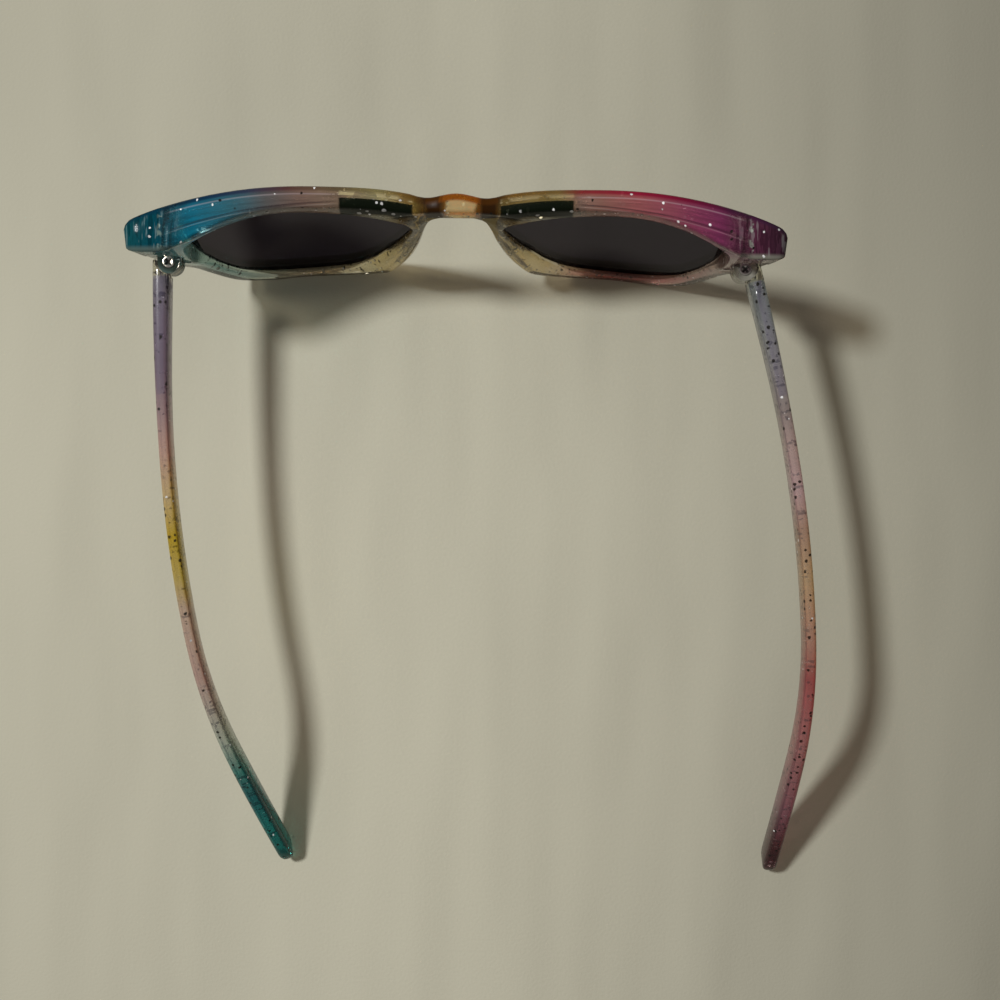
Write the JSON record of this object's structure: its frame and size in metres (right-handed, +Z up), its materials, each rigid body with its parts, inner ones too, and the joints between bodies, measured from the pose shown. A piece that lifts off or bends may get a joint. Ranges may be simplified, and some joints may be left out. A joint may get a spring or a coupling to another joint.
{
  "type": "butterfly sunglasses",
  "caption": "Moulded butterfly sunglasses with broad swept-up end pieces, moulded nose pads, curved tinted lenses and long temples that fold on vertical hinge screws.",
  "frame": {"origin": "on the table, under the middle of the whole object as it stands open", "axes": "+X to the picture's right, +Y forwards through the lenses, away from the wearer, +Z up from the table to the brow"},
  "size_m": [0.1563, 0.1612, 0.0502],
  "materials": {
    "front_plastic": "clear moulded plastic tinted from blue through yellow to purple, with glitter",
    "left_temple_plastic": "clear moulded plastic tinted from purple through yellow to blue, with glitter",
    "right_temple_plastic": "clear moulded plastic tinted from grey-blue through orange to red, with glitter",
    "smoke_lens": "polished smoke-grey lens",
    "screw_steel": "plain steel"
  },
  "bodies": {
    "front": {"front_frame": "front_plastic", "left_lens": "smoke_lens", "right_lens": "smoke_lens", "left_hinge_screw": "screw_steel", "right_hinge_screw": "screw_steel", "left_hinge_nut": "screw_steel", "right_hinge_nut": "screw_steel"},
    "left_temple": {"left_temple": "left_temple_plastic"},
    "right_temple": {"right_temple": "right_temple_plastic"}
  },
  "joints": [
    {"name": "left_temple_fold", "type": "hinge", "parent": "front", "child": "left_temple", "pos_m": [-0.07087, 0.06514, 0.0355], "axis": [0, 0, 1], "range_deg": [-14.8, 81.6]},
    {"name": "right_temple_fold", "type": "hinge", "parent": "front", "child": "right_temple", "pos_m": [0.06013, 0.06514, 0.0355], "axis": [0, 0, -1], "range_deg": [0, 89.6]}
  ]
}
